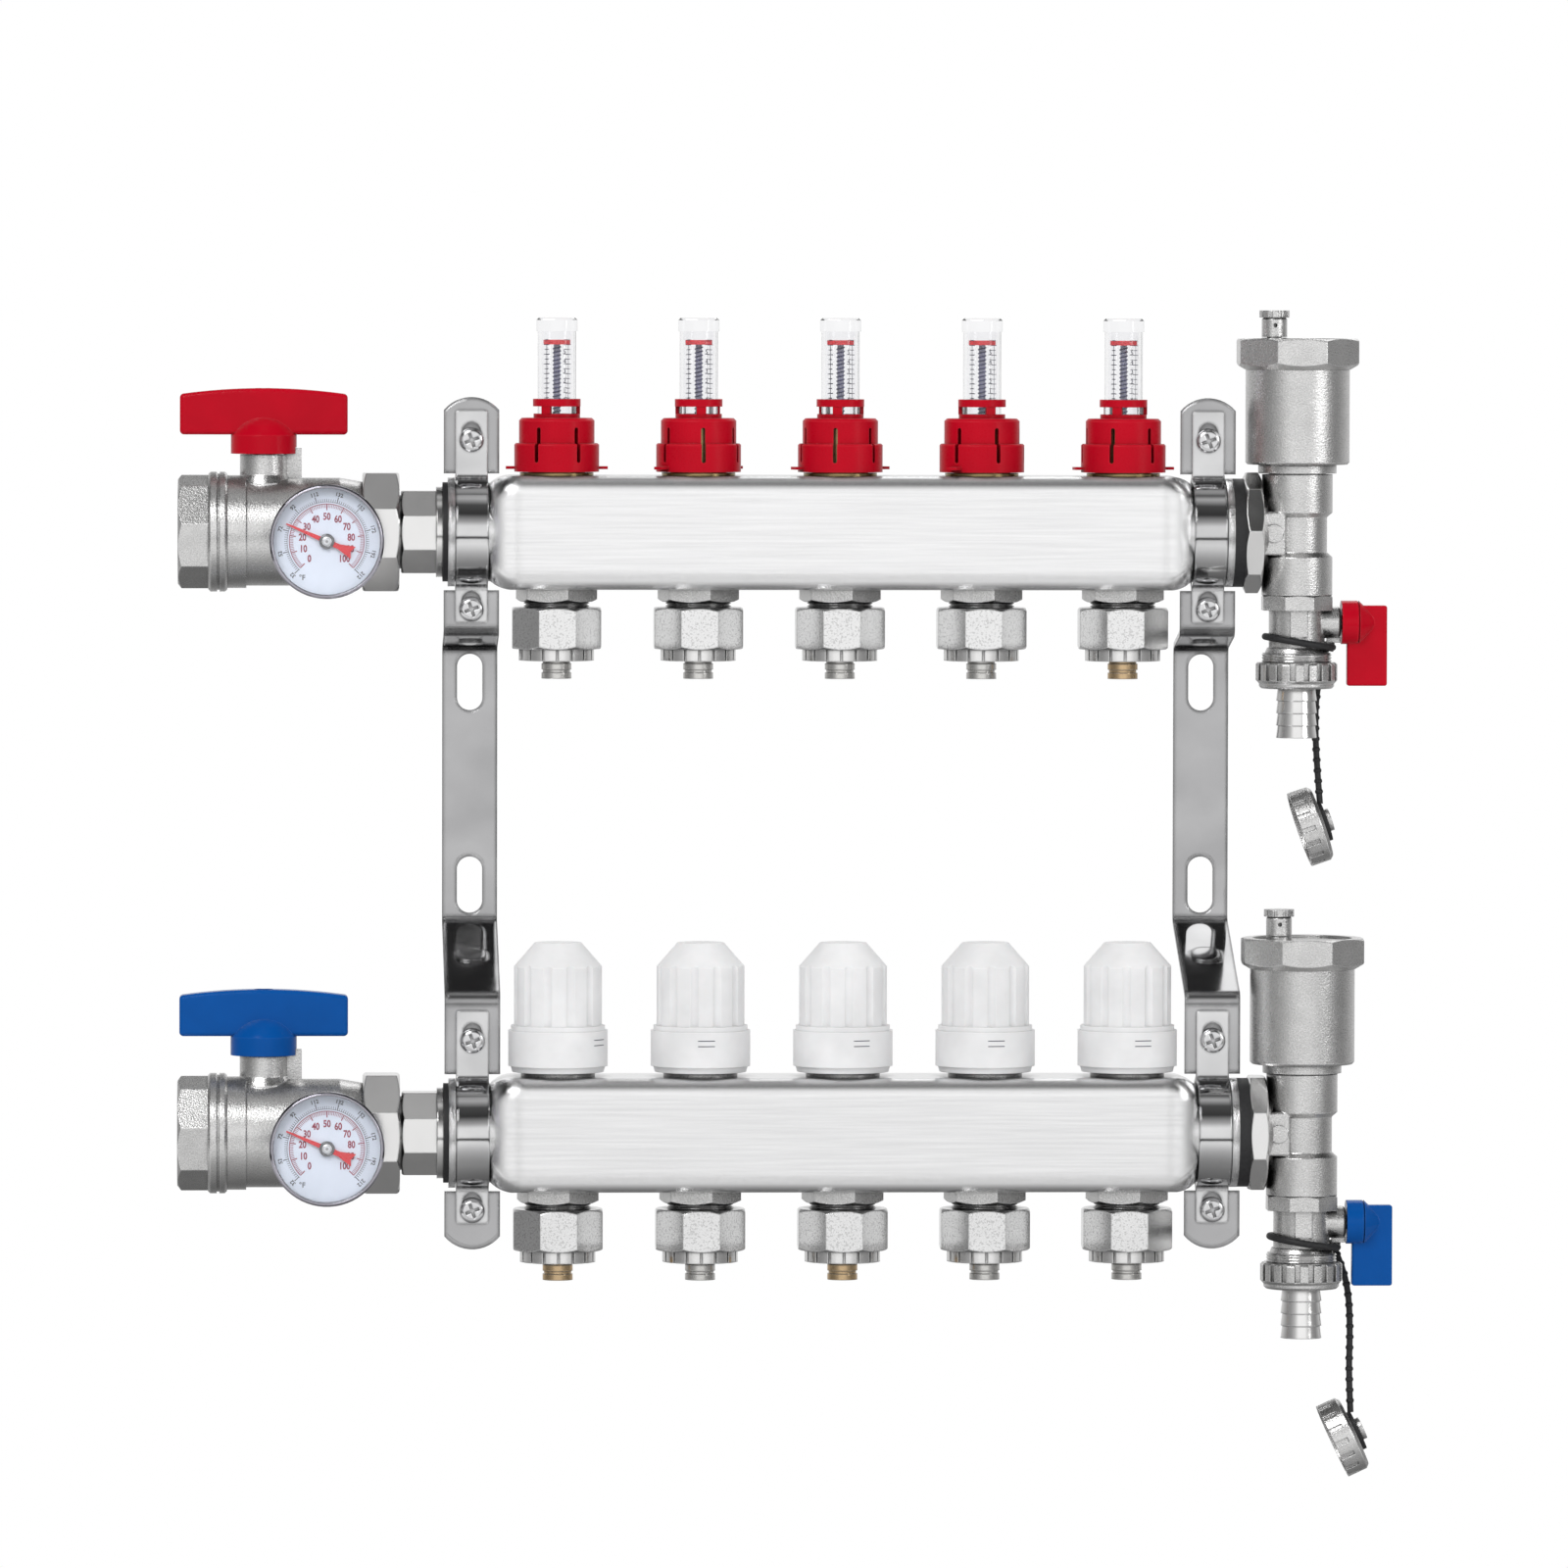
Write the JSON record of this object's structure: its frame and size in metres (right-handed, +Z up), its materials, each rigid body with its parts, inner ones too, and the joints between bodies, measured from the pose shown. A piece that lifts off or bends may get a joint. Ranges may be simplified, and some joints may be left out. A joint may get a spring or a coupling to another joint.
{
  "type": "heating manifold",
  "caption": "Wall-mounted heating manifold: two bars on folded brackets, ball valves with dial gauges, flow meters, valve caps, vents, drains and pipe unions.",
  "frame": {"origin": "on the wall plane, midway between the four bracket slots", "axes": "+X along the bars to the vent end, +Y into the wall, +Z up"},
  "size_m": [0.4268, 0.11, 0.4111],
  "materials": {
    "stainless": "brushed",
    "chrome": "bright chrome plate",
    "zinc_screw": "bright zinc plate",
    "nickel": "nickel plate over fine cast grain",
    "nickel_bright": "bright nickel plate, turned",
    "bare_brass": "bare turned brass",
    "ball_chrome": "polished",
    "black_rubber": "matte",
    "seat_plastic": "matte",
    "red_paint": "gloss",
    "blue_paint": "gloss",
    "red_plastic": "satin",
    "white_plastic": "satin",
    "clear_plastic": "clear",
    "gauge_glass": "clear",
    "dial_face": "satin print",
    "needle_red": "satin",
    "float_red": "matte"
  },
  "bodies": {
    "root": {"supply_bar": "stainless", "return_bar": "stainless", "left_bracket": "chrome", "right_bracket": "chrome", "clamp_straps": "chrome", "clamp_screws": "zinc_screw", "valve_bodies": "nickel", "valve_end_adapters": "nickel", "valve_seats": "seat_plastic", "union_nuts": "nickel_bright", "union_tailpieces": "nickel_bright", "sealing_rings": "black_rubber", "gauge_cases": "chrome", "gauge_dials": "dial_face", "gauge_lenses": "gauge_glass", "end_reducers": "nickel_bright", "end_tees": "nickel", "vent_bodies": "nickel", "vent_lids": "nickel", "drain_bodies": "nickel", "hose_nuts": "nickel", "hose_tails": "nickel_bright", "strap_loops": "black_rubber", "supply_cap_strap": "black_rubber", "return_cap_strap": "black_rubber", "drain_caps": "nickel", "meter_inserts": "bare_brass", "valve_inserts": "nickel", "branch_nipples": "nickel", "branch_nuts": "nickel_bright", "branch_rings": "nickel_bright", "pipe_inserts": "nickel_bright", "sight_tubes": "clear_plastic"},
    "supply_valve": {"supply_handle": "red_paint", "supply_spindle": "ball_chrome"},
    "supply_gauge_needle": {"supply_needle": "needle_red"},
    "supply_drain": {"supply_drain_handle": "red_paint", "supply_drain_ball": "ball_chrome"},
    "supply_bleed_cap": {"supply_vent_cap": "nickel"},
    "return_valve": {"return_handle": "blue_paint", "return_spindle": "ball_chrome"},
    "return_gauge_needle": {"return_needle": "needle_red"},
    "return_drain": {"return_drain_handle": "blue_paint", "return_drain_ball": "ball_chrome"},
    "return_bleed_cap": {"return_vent_cap": "nickel"},
    "collar_1": {"flow_collar_1": "red_plastic"},
    "float_1": {"flow_float_1": "float_red"},
    "knob_1": {"cap_knob_1": "white_plastic"},
    "collar_2": {"flow_collar_2": "red_plastic"},
    "float_2": {"flow_float_2": "float_red"},
    "knob_2": {"cap_knob_2": "white_plastic"},
    "collar_3": {"flow_collar_3": "red_plastic"},
    "float_3": {"flow_float_3": "float_red"},
    "knob_3": {"cap_knob_3": "white_plastic"},
    "collar_4": {"flow_collar_4": "red_plastic"},
    "float_4": {"flow_float_4": "float_red"},
    "knob_4": {"cap_knob_4": "white_plastic"},
    "collar_5": {"flow_collar_5": "red_plastic"},
    "float_5": {"flow_float_5": "float_red"},
    "knob_5": {"cap_knob_5": "white_plastic"}
  },
  "joints": [
    {"name": "supply_valve_turn", "type": "hinge", "parent": "root", "child": "supply_valve", "pos_m": [-0.2031, -0.032, 0.09], "axis": [0, 0, 1], "range_deg": [-90, 0]},
    {"name": "supply_gauge_needle_turn", "type": "hinge", "parent": "root", "child": "supply_gauge_needle", "pos_m": [-0.1812, -0.076, 0.0877], "axis": [0, -1, 0], "range_deg": [-201.6, 68.4]},
    {"name": "supply_drain_turn", "type": "hinge", "parent": "root", "child": "supply_drain", "pos_m": [0.1616, -0.032, 0.0584], "axis": [1, 0, 0], "range_deg": [-90, 0]},
    {"name": "supply_bleed_cap_turn", "type": "hinge", "parent": "root", "child": "supply_bleed_cap", "pos_m": [0.1533, -0.032, 0.16], "axis": [0, 0, 1], "range_deg": [0, 360]},
    {"name": "return_valve_turn", "type": "hinge", "parent": "root", "child": "return_valve", "pos_m": [-0.2031, -0.062, -0.12], "axis": [0, 0, 1], "range_deg": [-90, 0]},
    {"name": "return_gauge_needle_turn", "type": "hinge", "parent": "root", "child": "return_gauge_needle", "pos_m": [-0.1812, -0.106, -0.1223], "axis": [0, -1, 0], "range_deg": [-201.6, 68.4]},
    {"name": "return_drain_turn", "type": "hinge", "parent": "root", "child": "return_drain", "pos_m": [0.1616, -0.062, -0.1516], "axis": [1, 0, 0], "range_deg": [-90, 0]},
    {"name": "return_bleed_cap_turn", "type": "hinge", "parent": "root", "child": "return_bleed_cap", "pos_m": [0.1533, -0.062, -0.05], "axis": [0, 0, 1], "range_deg": [0, 360]},
    {"name": "collar_1_turn", "type": "hinge", "parent": "root", "child": "collar_1", "pos_m": [-0.1, -0.032, 0.12], "axis": [0, 0, 1], "range_deg": [-360, 360]},
    {"name": "float_1_slide", "type": "slide", "parent": "root", "child": "float_1", "axis": [0, 0, 1], "range_m": [-0.022, 0], "stiffness_N_per_m": 20},
    {"name": "knob_1_turn", "type": "hinge", "parent": "root", "child": "knob_1", "pos_m": [-0.1, -0.062, -0.08], "axis": [0, 0, 1], "range_deg": [-360, 0]},
    {"name": "collar_2_turn", "type": "hinge", "parent": "root", "child": "collar_2", "pos_m": [-0.05, -0.032, 0.12], "axis": [0, 0, 1], "range_deg": [-360, 360]},
    {"name": "float_2_slide", "type": "slide", "parent": "root", "child": "float_2", "axis": [0, 0, 1], "range_m": [-0.022, 0], "stiffness_N_per_m": 20},
    {"name": "knob_2_turn", "type": "hinge", "parent": "root", "child": "knob_2", "pos_m": [-0.05, -0.062, -0.08], "axis": [0, 0, 1], "range_deg": [-360, 0]},
    {"name": "collar_3_turn", "type": "hinge", "parent": "root", "child": "collar_3", "pos_m": [0, -0.032, 0.12], "axis": [0, 0, 1], "range_deg": [-360, 360]},
    {"name": "float_3_slide", "type": "slide", "parent": "root", "child": "float_3", "axis": [0, 0, 1], "range_m": [-0.022, 0], "stiffness_N_per_m": 20},
    {"name": "knob_3_turn", "type": "hinge", "parent": "root", "child": "knob_3", "pos_m": [0, -0.062, -0.08], "axis": [0, 0, 1], "range_deg": [-360, 0]},
    {"name": "collar_4_turn", "type": "hinge", "parent": "root", "child": "collar_4", "pos_m": [0.05, -0.032, 0.12], "axis": [0, 0, 1], "range_deg": [-360, 360]},
    {"name": "float_4_slide", "type": "slide", "parent": "root", "child": "float_4", "axis": [0, 0, 1], "range_m": [-0.022, 0], "stiffness_N_per_m": 20},
    {"name": "knob_4_turn", "type": "hinge", "parent": "root", "child": "knob_4", "pos_m": [0.05, -0.062, -0.08], "axis": [0, 0, 1], "range_deg": [-360, 0]},
    {"name": "collar_5_turn", "type": "hinge", "parent": "root", "child": "collar_5", "pos_m": [0.1, -0.032, 0.12], "axis": [0, 0, 1], "range_deg": [-360, 360]},
    {"name": "float_5_slide", "type": "slide", "parent": "root", "child": "float_5", "axis": [0, 0, 1], "range_m": [-0.022, 0], "stiffness_N_per_m": 20},
    {"name": "knob_5_turn", "type": "hinge", "parent": "root", "child": "knob_5", "pos_m": [0.1, -0.062, -0.08], "axis": [0, 0, 1], "range_deg": [-360, 0]}
  ]
}
